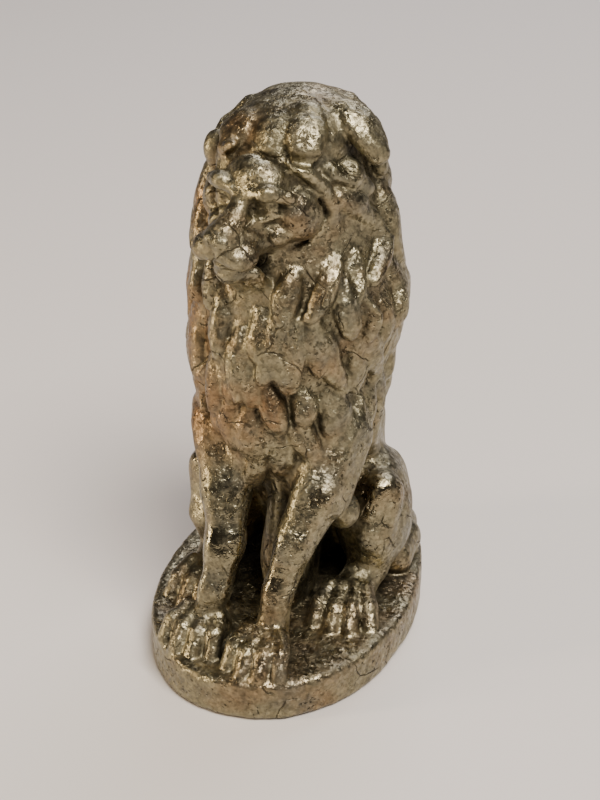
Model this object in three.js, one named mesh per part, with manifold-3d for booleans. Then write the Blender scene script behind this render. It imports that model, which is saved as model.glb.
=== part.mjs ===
// A seated lion on an oval base, carved from one block of pyrite.
// Millimetres, +Z up. The lion faces -Y, its left side is +X, and the origin is the
// centre of the base's underside. The figure is described as rounded forms that are
// blended into one body, which is then turned into facets and joined to the base.

import * as THREE from "three";
import { mergeVertices } from "three/addons/utils/BufferGeometryUtils.js";
import Module from "manifold-3d";

// Driving dimensions
const BASE_HALF_WIDTH = 15;
const BASE_HALF_LENGTH = 22.2;
const BASE_HEIGHT = 4.8;
const BASE_SQUARENESS = 2.12; // 2 is a true ellipse, more is fuller at the corners
const BASE_EDGE = 0.9; // how far the rounded rim reaches in
const CROWN_HEIGHT = 64.4;
const BODY_FACET = 1.9; // size of the facets on the mane, the trunk and the haunches
const LEG_FACET = 1.6;
const PAW_FACET = 1.2;
const FACE_FACET = 1.5;
const STONE_COLOUR = 0x8d8468;

const vec = (x, y, z) => new THREE.Vector3(x, y, z);
const mix = (a, b, t) => a + (b - a) * t;
const degrees = (angle) => THREE.MathUtils.degToRad(angle);

// The forms. Each has a distance function, a bounding ball and a blend: how softly it
// runs into what is already there. A cut takes material away.
const forms = [];

function addForm(distance, centre, reach, blend, cut = false) {
  forms.push({ distance, centre, reach, blend, cut });
}

// A limb is a chain of tapered round segments through points, each with its own radius.
function limb(points, radii, blend, cut = false) {
  for (let i = 0; i + 1 < points.length; i++) {
    const from = points[i];
    const to = points[i + 1];
    const along = to.clone().sub(from);
    const lengthSquared = along.lengthSq();
    const offset = vec(0, 0, 0);
    const distance = (p) => {
      offset.copy(p).sub(from);
      const t = THREE.MathUtils.clamp(offset.dot(along) / lengthSquared, 0, 1);
      return offset.addScaledVector(along, -t).length() - mix(radii[i], radii[i + 1], t);
    };
    const middle = from.clone().lerp(to, 0.5);
    const reach = Math.sqrt(lengthSquared) / 2 + Math.max(radii[i], radii[i + 1]);
    addForm(distance, middle, reach, blend, cut);
  }
}

// A lobe is an ellipsoid, turned by angles in degrees about X, then Y, then Z.
function lobe(centre, radii, turn, blend, cut = false) {
  const euler = new THREE.Euler(degrees(turn[0]), degrees(turn[1]), degrees(turn[2]), "ZYX");
  const inverse = new THREE.Quaternion().setFromEuler(euler).invert();
  const local = vec(0, 0, 0);
  const distance = (p) => {
    local.copy(p).sub(centre).applyQuaternion(inverse);
    const x = local.x / radii[0];
    const y = local.y / radii[1];
    const z = local.z / radii[2];
    const near = Math.hypot(x, y, z);
    const slope = Math.hypot(x / radii[0], y / radii[1], z / radii[2]);
    return slope < 1e-9 ? -Math.min(...radii) : (near * (near - 1)) / slope;
  };
  addForm(distance, centre.clone(), Math.max(...radii), blend, cut);
}

// Body under the mane: a column of ellipses. Each station is its height, the centre in
// x and y, and the half widths in x and y.
const MANE_STATIONS = [
  [20.0, -0.6, 3.0, 7.8, 9.0],
  [24.0, -0.4, 2.0, 8.3, 10.4],
  [28.0, 0.0, 1.4, 8.8, 11.2],
  [34.5, -0.3, 1.0, 10.0, 11.6],
  [42.0, 0.9, 0.6, 10.6, 11.2],
  [49.5, 0.3, 0.6, 9.7, 9.8],
  [56.0, 0.7, 0.6, 7.7, 8.4],
  [60.5, 1.0, 0.4, 6.6, 6.8],
  [62.6, 1.2, 0.2, 5.2, 4.8],
];

function maneSection(height) {
  const last = MANE_STATIONS.length - 1;
  const z = THREE.MathUtils.clamp(height, MANE_STATIONS[0][0], MANE_STATIONS[last][0]);
  let i = 0;
  while (i < last - 1 && z > MANE_STATIONS[i + 1][0]) i++;
  const t = (z - MANE_STATIONS[i][0]) / (MANE_STATIONS[i + 1][0] - MANE_STATIONS[i][0]);
  return [1, 2, 3, 4].map((k) => mix(MANE_STATIONS[i][k], MANE_STATIONS[i + 1][k], t));
}

// A point on the mane. Angle 0 is the front, 90 the lion's left; lift is outwards.
function onMane(angle, height, lift) {
  const [cx, cy, a, b] = maneSection(height);
  const sine = Math.sin(degrees(angle));
  const cosine = Math.cos(degrees(angle));
  return vec(cx + (a + lift) * sine, cy - (b + lift) * cosine, height);
}

function maneColumn() {
  const low = MANE_STATIONS[0][0];
  const high = MANE_STATIONS[MANE_STATIONS.length - 1][0];
  const distance = (p) => {
    const [cx, cy, a, b] = maneSection(p.z);
    const side = (Math.hypot((p.x - cx) / a, (p.y - cy) / b) - 1) * Math.min(a, b);
    return Math.max(side, low - p.z, p.z - high);
  };
  addForm(distance, vec(0, 0, (low + high) / 2), high - low, 0);
}

// One lock of hair: a tapering S-shaped roll that rises from the mane towards its tip.
const LOCK_STEPS = 5;

function lock(from, to, width, bow) {
  const points = [];
  const radii = [];
  for (let i = 0; i <= LOCK_STEPS; i++) {
    const t = i / LOCK_STEPS;
    const radius = (width / 2) * (0.3 + 0.7 * Math.sin(Math.PI * (0.16 + 0.72 * t)));
    const angle = mix(from[0], to[0], t) + bow * Math.sin(2 * Math.PI * t);
    points.push(onMane(angle, mix(from[1], to[1], t), radius * mix(-0.9, 0.1, Math.min(1, t * 1.3))));
    radii.push(radius);
  }
  limb(points, radii, 0.3);
}

// The chest and sides, lock by lock: angle and height of the root, angle and height of
// the tip, width, and how far the S swings.
const FRONT_LOCKS = [
  [-60, 58, -58, 50, 4.6, 2],
  [-56, 50.5, -52, 42, 4.6, -2],
  [-43, 48, -42, 42, 3.8, 0],
  [-28, 47, -23, 40.5, 3.6, 0],
  [-7, 47, -6, 41, 3.8, 0],
  [14, 47, 14, 41, 4, -3],
  [47, 48.5, 27, 42.2, 3.6, 0],
  [61, 49.5, 52, 43, 3.4, 3],
  [84, 53, 70, 44.5, 4.2, 6],
  [92, 47, 84, 38.5, 5, 3],
  [12, 42.8, 17, 33.5, 4.6, 4],
  [-1, 42.5, 1, 35, 4.2, -2],
  [34, 42.8, 51, 33, 4.6, 3],
  [64, 42, 56, 33, 4.6, -3],
  [86, 41, 80, 32, 5.2, 2],
  [-18, 45, -18, 37.2, 4.2, 2],
  [-36, 44.5, -31, 35.2, 4.2, 2],
  [-60, 43, -48, 32.5, 5, 0],
  [-76, 40, -70, 31, 5, 3],
  [24, 34.8, 30, 26.5, 4.2, -2],
  [42, 34.6, 55, 26.5, 4.4, 5],
  [12, 35.5, 15, 28.5, 4, 1],
  [-3, 35, -7, 26.8, 4.2, -2],
  [-20, 37, -14, 27, 4.2, 2],
  [-42, 35, -44, 25.5, 4.6, 0],
  [84, 33.5, 88, 25, 4.6, 0],
  [67, 31.5, 67, 24, 4.6, -2],
  [17, 30.5, 22, 24, 3.8, 0],
  [1, 28, -1, 21, 4, 0],
  [-16, 28, -18, 21.4, 4, 0],
  [-32, 29.5, -37, 21.5, 4.2, 0],
  [-60, 32, -62, 23.5, 4.8, 2],
  [46, 28.5, 47, 21.5, 4.4, 0],
];

// Rows of locks from the left side round the back to the right, each row overlapping the
// one below: height of the roots, how many locks, their length and width.
const BACK_ROWS = [
  [28.5, 7, 7.5, 5.2],
  [34.5, 8, 8.5, 5.4],
  [41, 8, 9.0, 5.4],
  [47.5, 8, 9.0, 5.2],
  [54, 7, 9.0, 4.8],
  [60, 7, 8.5, 4.6],
];
const BACK_FROM = 104;
const BACK_TO = 282;

function mane() {
  maneColumn();
  for (const [angle, height, tipAngle, tipHeight, width, bow] of FRONT_LOCKS)
    lock([angle, height], [tipAngle, tipHeight], width, bow);
  BACK_ROWS.forEach(([height, count, length, width], row) => {
    for (let i = 0; i < count; i++) {
      const share = (i + (row % 2) / 2) / (count - 0.5);
      const angle = mix(BACK_FROM, BACK_TO, share);
      const wave = Math.sin(i * 2.4 + row * 1.7);
      lock([angle, height + wave], [angle + 6 * wave, height - length + wave], width, 4 * Math.sign(wave));
    }
  });
}

// Head. Its own axes: left, forwards and up. It is turned to the lion's right, tipped
// down a little, and leans so that the left ear is the higher.
const HEAD_CENTRE = vec(0.6, -3.4, 55.6);
const HEAD_TURN = 14;
const HEAD_TIP = 5;
const HEAD_LEAN = 4;
const headForward = vec(
  -Math.sin(degrees(HEAD_TURN)) * Math.cos(degrees(HEAD_TIP)),
  -Math.cos(degrees(HEAD_TURN)) * Math.cos(degrees(HEAD_TIP)),
  -Math.sin(degrees(HEAD_TIP)),
);
const headLeft = vec(Math.cos(degrees(HEAD_TURN)), -Math.sin(degrees(HEAD_TURN)), 0);
headLeft.applyAxisAngle(headForward, degrees(-HEAD_LEAN));
const headUp = headForward.clone().cross(headLeft);

function inHead(left, forward, up) {
  return HEAD_CENTRE.clone()
    .addScaledVector(headLeft, left)
    .addScaledVector(headForward, forward)
    .addScaledVector(headUp, up);
}

const HEAD_ANGLES = [HEAD_TIP, 0, -HEAD_TURN];

function head() {
  lobe(inHead(0, 0.4, 0), [6.2, 7.0, 6.6], HEAD_ANGLES, 1.0);
  lobe(inHead(0, 4.6, 4.2), [3.6, 3.6, 2.6], HEAD_ANGLES, 1.2); // forehead
  limb([inHead(0, 6.0, 2.6), inHead(0, 11.4, 0.6)], [2.1, 1.7], 0.8); // bridge of the nose
  limb([inHead(0, 5.0, -2.0), inHead(0, 10.4, -2.2)], [3.8, 2.9], 0.8); // muzzle
  lobe(inHead(0, 12.4, 0.2), [1.9, 1.1, 1.1], HEAD_ANGLES, 0.4); // nose
  lobe(inHead(0, 9.9, -5.4), [2.2, 1.9, 2.0], HEAD_ANGLES, 0.4); // chin
  limb([inHead(0, 8.6, -5.6), inHead(0.6, 6.6, -10.0)], [2.4, 1.6], 0.6); // beard
  for (const side of [-1, 1]) {
    lobe(inHead(side * 4.7, 3.7, -0.6), [2.4, 3.1, 2.9], HEAD_ANGLES, 0.5); // cheek
    lobe(inHead(side * 1.7, 11.1, -2.6), [1.9, 1.9, 1.8], HEAD_ANGLES, 0.3); // lip
    lobe(inHead(side * 2.7, 8.1, 1.3), [1.8, 1.7, 1.3], HEAD_ANGLES, 0.5, true); // eye socket
    limb([inHead(side * 1.4, 8.6, 3.1), inHead(side * 4.6, 6.0, 3.4)], [0.9, 1.0], 0.4); // brow
    lobe(inHead(side * 2.6, 6.9, 1.3), [1.2, 1.1, 1.0], HEAD_ANGLES, 0.1); // eye
  }
  // the mouth, a groove under the lips
  const corners = [inHead(-3.2, 8.6, -4.2), inHead(0, 12.6, -4.0), inHead(3.2, 8.6, -4.2)];
  limb(corners, [0.5, 0.55, 0.5], 0.3, true);
}

// Locks that spring from the border of the face, from over the brow down to the jaw.
// Each is its angle from the top of the head, and its length.
const RUFF = [
  [48, 4.2],
  [72, 4.6],
  [94, 5.0],
  [116, 5.4],
  [138, 5.4],
];

function ruff() {
  for (const side of [-1, 1])
    for (const [turn, length] of RUFF) {
      const out = (radius, forward, drop) =>
        inHead(side * radius * Math.sin(degrees(turn)), forward, radius * Math.cos(degrees(turn)) - drop);
      limb([out(6.2, 3.4, 0.2), out(7.6, 1.6, 0.6), out(8.6, -0.6, length * 0.6)], [1.5, 1.8, 1.0], 0.3);
    }
}

// Ears, low against the head, and the tuft over the brow: rolls combed to the sides.
function crown() {
  lobe(vec(-6.8, -2.2, 57.4), [1.9, 1.6, 2.3], HEAD_ANGLES, 0.4);
  lobe(vec(9.0, -2.2, 59.0), [2.3, 1.6, 2.4], HEAD_ANGLES, 0.4);
  lobe(vec(8.6, -4.0, 58.8), [1.4, 1.2, 1.5], HEAD_ANGLES, 0.3, true);
  lobe(vec(1.3, -0.9, CROWN_HEIGHT - 6.2), [7.4, 6.8, 6.2], [0, 0, 0], 0.6);
  const top = CROWN_HEIGHT - 3.4;
  limb([vec(-2.6, -3.6, top + 1.0), vec(-3.9, -5.4, top - 1.4), vec(-4.6, -6.2, top - 4.0)], [1.8, 2.0, 1.4], 0.3);
  limb([vec(0.8, -4.6, top + 1.2), vec(0.4, -6.8, top - 1.0), vec(0.2, -8.0, top - 3.4)], [2.2, 2.1, 1.3], 0.3);
  limb([vec(4.2, -4.2, top + 1.0), vec(4.6, -6.2, top - 1.0), vec(5.0, -6.8, top - 3.6)], [2.0, 2.0, 1.3], 0.3);
  limb([vec(4.8, -0.4, top + 1.4), vec(8.0, -1.6, top + 0.4), vec(10.3, -2.2, top - 1.6)], [2.0, 2.1, 1.0], 0.3);
}

// Trunk, from the shoulders down to the rump, and the web of stone between the fore legs.
function trunk() {
  limb([vec(-0.2, 4, 31), vec(0.1, 7.0, 20), vec(0.1, 9.8, 11)], [9.0, 8.4, 8.4], 2.0);
  lobe(vec(1.0, -2.0, 12), [2.8, 7.4, 13], [0, 0, 0], 1.5);
}

// Legs and paws
const TOES = 4;

// Toes fan out from the knuckles; each is a short roll that ends in a rounded tip.
function paw(knuckles, aim, width, length) {
  const forward = vec(Math.sin(degrees(aim)), -Math.cos(degrees(aim)), 0);
  const across = vec(-forward.y, forward.x, 0);
  lobe(knuckles, [width * 0.5, length * 0.55, 2.1], [0, 0, aim], 0.6);
  for (let i = 0; i < TOES; i++) {
    const share = i / (TOES - 1) - 0.5;
    const root = knuckles.clone().addScaledVector(across, share * width * 0.75).add(vec(0, 0, 0.8));
    const tip = knuckles
      .clone()
      .addScaledVector(across, share * width)
      .addScaledVector(forward, length * (0.62 - 0.6 * share * share))
      .add(vec(0, 0, -1.2));
    limb([root, root.clone().lerp(tip, 0.62).add(vec(0, 0, 0.8)), tip], [0.9, 1.12, 0.9], 0.15);
  }
}

function foreLegs() {
  const left = [vec(6.6, -4.6, 27), vec(6.2, -8.2, 22), vec(4.1, -11.6, 16.8), vec(2.8, -13.6, 11.5), vec(2.5, -14.6, 8)];
  const right = [vec(-6.6, -4.6, 27), vec(-4.7, -8.4, 21.5), vec(-4.0, -11.8, 15.5), vec(-4.4, -13.4, 10.8), vec(-5.0, -13.8, 8)];
  limb(left, [4.0, 3.0, 2.1, 1.6, 1.8], 0.8);
  limb(right, [4.2, 3.0, 2.2, 1.7, 1.8], 0.8);
  lobe(vec(7.4, -5.0, 18.0), [2.0, 3.0, 2.0], [-25, 0, 20], 0.4); // left elbow
  lobe(vec(-6.8, -5.0, 18.0), [2.0, 3.0, 2.0], [-25, 0, -20], 0.4); // right elbow
}

const HIP_SHIFT = 0.35; // the left haunch is the fuller

function haunches() {
  for (const side of [-1, 1])
    lobe(vec(HIP_SHIFT + side * 8.4, 4.8, 12.8), [4.6, 7.6, 7.6], [-14, 0, side * 8], 0.8);
}

function hindLegs() {
  for (const side of [-1, 1]) {
    const knee = vec(HIP_SHIFT + side * 10.5, 0.6, 17.6);
    const shin = vec(HIP_SHIFT + side * 9.6, -0.8, 12.4);
    const heel = vec(HIP_SHIFT + side * 9.0, 0.6, 7.4);
    limb([knee, shin, heel, vec(side * 8.6, -2.6, 6.2)], [2.5, 2.3, 2.3, 2.3], 0.6);
  }
}

function paws() {
  paw(vec(2.0, -16.4, 6.4), -3, 6.0, 6.6);
  paw(vec(-5.6, -14.2, 6.4), -13, 6.4, 6.2);
  for (const side of [-1, 1]) paw(vec(side * 8.2, -4.8, 6.3), side * 8, 6.6, 7.4);
}

// The tail lies on the base, from the rump round the lion's left side to its tuft.
function tail() {
  const path = [vec(-1.0, 17.8, 6.3), vec(6.0, 17.4, 6.1), vec(10.4, 13.2, 6.2), vec(11.9, 8.6, 6.6), vec(12.0, 4.8, 6.4)];
  limb(path, [1.8, 1.8, 2.0, 2.5, 2.2], 0.4);
}

// The whole figure's distance at a point, leaving out forms too far off to matter.
function figureDistance(p) {
  let total = Infinity;
  for (const form of forms) {
    const least = form.centre.distanceTo(p) - form.reach;
    if (form.cut ? least > form.blend - total : least > total + form.blend) continue;
    const d = form.cut ? -form.distance(p) : form.distance(p);
    const overlap = form.blend > 0 ? Math.max(form.blend - Math.abs(total - d), 0) / form.blend : 0;
    const round = (overlap * overlap * form.blend) / 4;
    total = form.cut ? Math.max(total, d) + round : Math.min(total, d) - round;
    if (!Number.isFinite(total)) total = d;
  }
  return total;
}

// The corners and edges of one grid cell.
const CORNERS = [0, 1, 2, 3, 4, 5, 6, 7].map((c) => [c & 1, (c >> 1) & 1, (c >> 2) & 1]);
const EDGES = CORNERS.flatMap((_, a) => [1, 2, 4].filter((bit) => !(a & bit)).map((bit) => [a, a | bit]));

// True for a cell whose inner corners, or whose outer ones, aren't all joined by edges.
function isTorn(insideMask) {
  return [insideMask, 255 - insideMask].some((mask) => {
    const members = CORNERS.map((_, c) => c).filter((c) => mask & (1 << c));
    const reached = new Set(members.slice(0, 1));
    for (let round = 0; round < 7; round++)
      for (const [a, b] of EDGES) {
        if (reached.has(a) && mask & (1 << b)) reached.add(b);
        if (reached.has(b) && mask & (1 << a)) reached.add(a);
      }
    return reached.size < members.length;
  });
}

const TORN = Array.from({ length: 256 }, (_, mask) => isTorn(mask));

// Facets of the surface where a distance function is zero: one vertex in each grid cell
// that the surface crosses, pulled onto the surface, and one square for each grid edge.
// A torn cell is filled first, so that the surface never touches itself.
function facets(distance, low, high, cell) {
  const count = [0, 1, 2].map((k) => Math.ceil((high[k] - low[k]) / cell) + 1);
  const at = (i, j, k) => i + count[0] * (j + count[1] * k);
  const values = new Float64Array(count[0] * count[1] * count[2]);
  const place = (i, j, k) => vec(low[0] + i * cell, low[1] + j * cell, low[2] + k * cell);

  function eachOf(margin, visit) {
    for (let k = margin; k < count[2] - 1; k++)
      for (let j = margin; j < count[1] - 1; j++)
        for (let i = margin; i < count[0] - 1; i++) visit(i, j, k);
  }

  function insideMask(i, j, k) {
    return CORNERS.reduce((mask, [x, y, z], c) => mask | ((values[at(i + x, j + y, k + z)] < 0) << c), 0);
  }

  values.fill(cell);
  eachOf(1, (i, j, k) => {
    values[at(i, j, k)] = distance(place(i, j, k));
  });

  for (let changed = true; changed; ) {
    changed = false;
    eachOf(0, (i, j, k) => {
      if (!TORN[insideMask(i, j, k)]) return;
      const outer = CORNERS.map(([x, y, z]) => at(i + x, j + y, k + z)).filter((n) => values[n] >= 0);
      values[outer.sort((a, b) => values[a] - values[b])[0]] = -cell / 100;
      changed = true;
    });
  }

  const positions = [];
  const vertexOf = new Map();
  eachOf(0, (i, j, k) => {
    const value = CORNERS.map(([x, y, z]) => values[at(i + x, j + y, k + z)]);
    const sum = vec(0, 0, 0);
    let crossings = 0;
    for (const [a, b] of EDGES) {
      if (value[a] < 0 === value[b] < 0) continue;
      const t = value[a] / (value[a] - value[b]);
      sum.add(vec(...CORNERS[a]).lerp(vec(...CORNERS[b]), t));
      crossings++;
    }
    if (!crossings) return;
    const vertex = place(i, j, k).addScaledVector(sum, cell / crossings);
    pullOnto(distance, vertex, cell);
    vertexOf.set(at(i, j, k), positions.length / 3);
    positions.push(...vertex.toArray());
  });

  const index = [];
  eachOf(1, (i, j, k) => {
    for (let axis = 0; axis < 3; axis++) {
      const [u, v] = [(axis + 1) % 3, (axis + 2) % 3];
      const step = (n) => [0, 1, 2].map((m) => (m === n ? 1 : 0));
      const [ahead, back, side] = [step(axis), step(u), step(v)];
      const here = values[at(i, j, k)] < 0;
      if (here === values[at(i + ahead[0], j + ahead[1], k + ahead[2])] < 0) continue;
      const ring = [[0, 0], [1, 0], [1, 1], [0, 1]].map(([m, n]) =>
        vertexOf.get(at(i - m * back[0] - n * side[0], j - m * back[1] - n * side[1], k - m * back[2] - n * side[2])),
      );
      if (!here) ring.reverse();
      const corner = ring.map((v) => vec().fromArray(positions, v * 3));
      const short = corner[0].distanceTo(corner[2]) <= corner[1].distanceTo(corner[3]);
      if (short) index.push(ring[0], ring[1], ring[2], ring[0], ring[2], ring[3]);
      else index.push(ring[1], ring[2], ring[3], ring[1], ring[3], ring[0]);
    }
  });
  return new THREE.BufferGeometry()
    .setAttribute("position", new THREE.Float32BufferAttribute(positions, 3))
    .setIndex(index);
}

// Moves a point along the slope of the distance until it lies on the surface, but never
// out of its own grid cell's neighbourhood, which keeps the facets in order.
function pullOnto(distance, point, cell) {
  const step = cell * 0.05;
  const start = point.clone();
  for (let round = 0; round < 4; round++) {
    const here = distance(point);
    const slope = vec(
      distance(point.clone().add(vec(step, 0, 0))) - distance(point.clone().add(vec(-step, 0, 0))),
      distance(point.clone().add(vec(0, step, 0))) - distance(point.clone().add(vec(0, -step, 0))),
      distance(point.clone().add(vec(0, 0, step))) - distance(point.clone().add(vec(0, 0, -step))),
    ).divideScalar(2 * step);
    if (slope.lengthSq() < 0.04) break;
    point.addScaledVector(slope, (-0.8 * here) / slope.lengthSq());
  }
  const moved = point.clone().sub(start);
  if (moved.length() > cell * 0.45) point.copy(start).addScaledVector(moved, (cell * 0.45) / moved.length());
}

// The base: an oval plate with a rounded rim.
const BASE_SIDES = 60;
const BASE_EDGE_STEPS = 2;

function baseGeometry() {
  const outline = new THREE.Shape();
  for (let i = 0; i < BASE_SIDES; i++) {
    const turn = (2 * Math.PI * i) / BASE_SIDES;
    const power = 2 / BASE_SQUARENESS;
    const x = (BASE_HALF_WIDTH - BASE_EDGE) * Math.sign(Math.cos(turn)) * Math.abs(Math.cos(turn)) ** power;
    const y = (BASE_HALF_LENGTH - BASE_EDGE) * Math.sign(Math.sin(turn)) * Math.abs(Math.sin(turn)) ** power;
    if (i) outline.lineTo(x, y);
    else outline.moveTo(x, y);
  }
  const rounded = { bevelEnabled: true, bevelSize: BASE_EDGE, bevelThickness: BASE_EDGE, bevelSegments: BASE_EDGE_STEPS };
  const plate = new THREE.ExtrudeGeometry(outline, { depth: BASE_HEIGHT - 2 * BASE_EDGE, curveSegments: 1, ...rounded });
  return plate.translate(0, 0, BASE_EDGE);
}

const wasm = await Module();
wasm.setup();

function solid(geometry) {
  const bare = geometry.clone();
  bare.deleteAttribute("normal");
  bare.deleteAttribute("uv");
  const merged = mergeVertices(bare, 1e-4);
  const vertProperties = merged.attributes.position.array;
  const triVerts = new Uint32Array(merged.index.array);
  return new wasm.Manifold(new wasm.Mesh({ numProp: 3, vertProperties, triVerts }));
}

function geometryOf(body) {
  const mesh = body.getMesh();
  return new THREE.BufferGeometry()
    .setAttribute("position", new THREE.BufferAttribute(new Float32Array(mesh.vertProperties), 3))
    .setIndex(new THREE.BufferAttribute(new Uint32Array(mesh.triVerts), 1));
}

// Closes the forms that some builders make into one solid, cut flat inside the base.
const SUNK = BASE_HEIGHT / 2;
const ROOM = [BASE_HALF_WIDTH + 1, BASE_HALF_LENGTH + 1, CROWN_HEIGHT + 2];

function carve(builders, low, high, cell) {
  forms.length = 0;
  for (const build of builders) build();
  const aboveFloor = (p) => Math.max(figureDistance(p), SUNK - p.z);
  return solid(facets(aboveFloor, low, high, cell));
}

const [side, end, top] = ROOM;
const body = carve([mane, trunk, haunches, tail], [-side, -end, SUNK - BODY_FACET], ROOM, BODY_FACET);
const legs = carve([foreLegs, hindLegs], [-side, -end, SUNK - LEG_FACET], [side, end, top / 2], LEG_FACET);
const feet = carve([paws], [-side, -end, SUNK - PAW_FACET], [side, end, top / 4], PAW_FACET);
const face = carve([head, ruff, crown], [-side, -end, top / 2], ROOM, FACE_FACET);
const carving = solid(baseGeometry()).add(body).add(legs).add(feet).add(face);

const stone = new THREE.MeshStandardMaterial({ color: STONE_COLOUR, roughness: 0.42, metalness: 1 });
const lion = new THREE.Mesh(geometryOf(carving), stone);
lion.name = "lion_carving";

const part = new THREE.Group();
part.add(lion);

export default part;
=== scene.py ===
# A seated lion carved from a single block of pyrite, on an oval base of the same stone.
import math
import bpy
import numpy as np
from mathutils import Matrix, Vector


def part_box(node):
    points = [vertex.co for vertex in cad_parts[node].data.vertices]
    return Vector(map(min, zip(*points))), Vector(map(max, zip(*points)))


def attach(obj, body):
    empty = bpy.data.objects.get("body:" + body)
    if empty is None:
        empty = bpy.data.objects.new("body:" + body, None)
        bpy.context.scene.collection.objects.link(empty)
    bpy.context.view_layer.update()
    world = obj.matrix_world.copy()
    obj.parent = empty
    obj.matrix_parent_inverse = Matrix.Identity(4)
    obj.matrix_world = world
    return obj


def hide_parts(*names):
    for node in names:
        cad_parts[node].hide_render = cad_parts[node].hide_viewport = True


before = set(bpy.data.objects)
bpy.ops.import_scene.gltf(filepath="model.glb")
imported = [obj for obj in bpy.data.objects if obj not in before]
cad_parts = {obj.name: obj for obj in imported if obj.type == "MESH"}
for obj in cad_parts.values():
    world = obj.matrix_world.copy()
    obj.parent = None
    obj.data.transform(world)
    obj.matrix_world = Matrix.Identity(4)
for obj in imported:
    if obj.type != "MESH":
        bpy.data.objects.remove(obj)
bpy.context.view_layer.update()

# The carving
#
# Lion and base are one block of pyrite, sawn, ground with small wheels and burrs, and
# polished by hand. It is described in millimetres as rounded forms that are blended into
# one body on a fine grid of distances, and the body's skin is then made a mesh.

MM = 0.001
NODE = "lion_carving"
box_low, box_high = (np.array(corner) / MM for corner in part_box(NODE))
BASE_HALF_WIDTH = (box_high[0] - box_low[0]) / 2
BASE_HALF_LENGTH = (box_high[1] - box_low[1]) / 2
CROWN_HEIGHT = box_high[2]
BASE_HEIGHT = 4.8
BASE_SQUARENESS = 2.12  # 2 is a true ellipse, more is fuller at the corners
BASE_RIM = 0.8  # how far the worn rim reaches in
CELL = 0.36

field_low = np.array([-BASE_HALF_WIDTH - 1.2, -BASE_HALF_LENGTH - 1.2, -1.2])
field_high = np.array([BASE_HALF_WIDTH + 1.2, BASE_HALF_LENGTH + 1.2, CROWN_HEIGHT + 1.6])
field_count = np.ceil((field_high - field_low) / CELL).astype(int) + 1
field = np.full(field_count, 9.0)
AXES = [field_low[n] + CELL * np.arange(field_count[n]) for n in range(3)]
SKIN = 1.6  # distances are kept exact this far from a form


def soft_noise(size):
    """Smooth random values over the whole grid, about -1 to 1, that change over a size."""
    value = rng.uniform(-1, 1, np.ceil(field_count * CELL / size).astype(int) + 2)
    for n in range(3):
        scaled = (AXES[n] - field_low[n]) / size
        whole = scaled.astype(int)
        part = scaled - whole
        shape = [1, 1, 1]
        shape[n] = -1
        part = (part * part * (3 - 2 * part)).reshape(shape)
        value = np.take(value, whole, n) * (1 - part) + np.take(value, whole + 1, n) * part
    return value


# The hand of the carver: no form is quite true, so the space that they are drawn in is
# pushed about a little.
rng = np.random.default_rng(7)
HAND_WOBBLE = [(6.0, 0.38), (2.7, 0.14)]  # over how many mm, and how far
places = [np.broadcast_to(axis, field_count).copy() for axis in np.ix_(*AXES)]
calm = np.clip((places[2] - 4.0) / 6.0, 0.25, 1)
for size, amount in HAND_WOBBLE:
    for n in range(3):
        places[n] += amount * soft_noise(size) * calm


def patch(low, high):
    """The part of the grid between two corners: its slices and its coordinates."""
    first = np.clip(np.floor((low - 0.6 - field_low) / CELL).astype(int), 0, field_count - 1)
    last = np.clip(np.ceil((high + 0.6 - field_low) / CELL).astype(int) + 1, 1, field_count)
    slices = tuple(slice(a, b) for a, b in zip(first, last))
    return slices, [place[slices] for place in places]


def merge(slices, distance, blend=0.0, cut=False):
    """Adds a form to the body, or cuts it out, with a soft fillet as wide as the blend."""
    total = field[slices]
    other = -distance if cut else distance
    fillet = 0.0
    if blend > 0:
        overlap = np.maximum(blend - np.abs(total - other), 0) / blend
        fillet = overlap * overlap * blend / 4
    field[slices] = np.maximum(total, other) + fillet if cut else np.minimum(total, other) - fillet


def limb(points, radii, blend, cut=False, flats=(), inset=0.86):
    """A chain of tapered round segments. Flats are the directions in which it is ground
    flat, inset to a share of its radius."""
    points = [np.array(p, float) for p in points]
    for i in range(len(points) - 1):
        start, end, first, last = points[i], points[i + 1], radii[i], radii[i + 1]
        reach = max(first, last) + SKIN + blend
        slices, (x, y, z) = patch(np.minimum(start, end) - reach, np.maximum(start, end) + reach)
        along = end - start
        x, y, z = x - start[0], y - start[1], z - start[2]
        t = np.clip((x * along[0] + y * along[1] + z * along[2]) / np.dot(along, along), 0, 1)
        x, y, z = x - t * along[0], y - t * along[1], z - t * along[2]
        radius = first + (last - first) * t
        distance = np.sqrt(x * x + y * y + z * z) - radius
        for direction in flats:
            flat = np.array(direction, float) / np.linalg.norm(direction)
            level = x * flat[0] + y * flat[1] + z * flat[2] - inset * radius
            overlap = np.maximum(0.3 - np.abs(distance - level), 0) / 0.3
            distance = np.maximum(distance, level) + overlap * overlap * 0.075
        merge(slices, distance, blend, cut)


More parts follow.
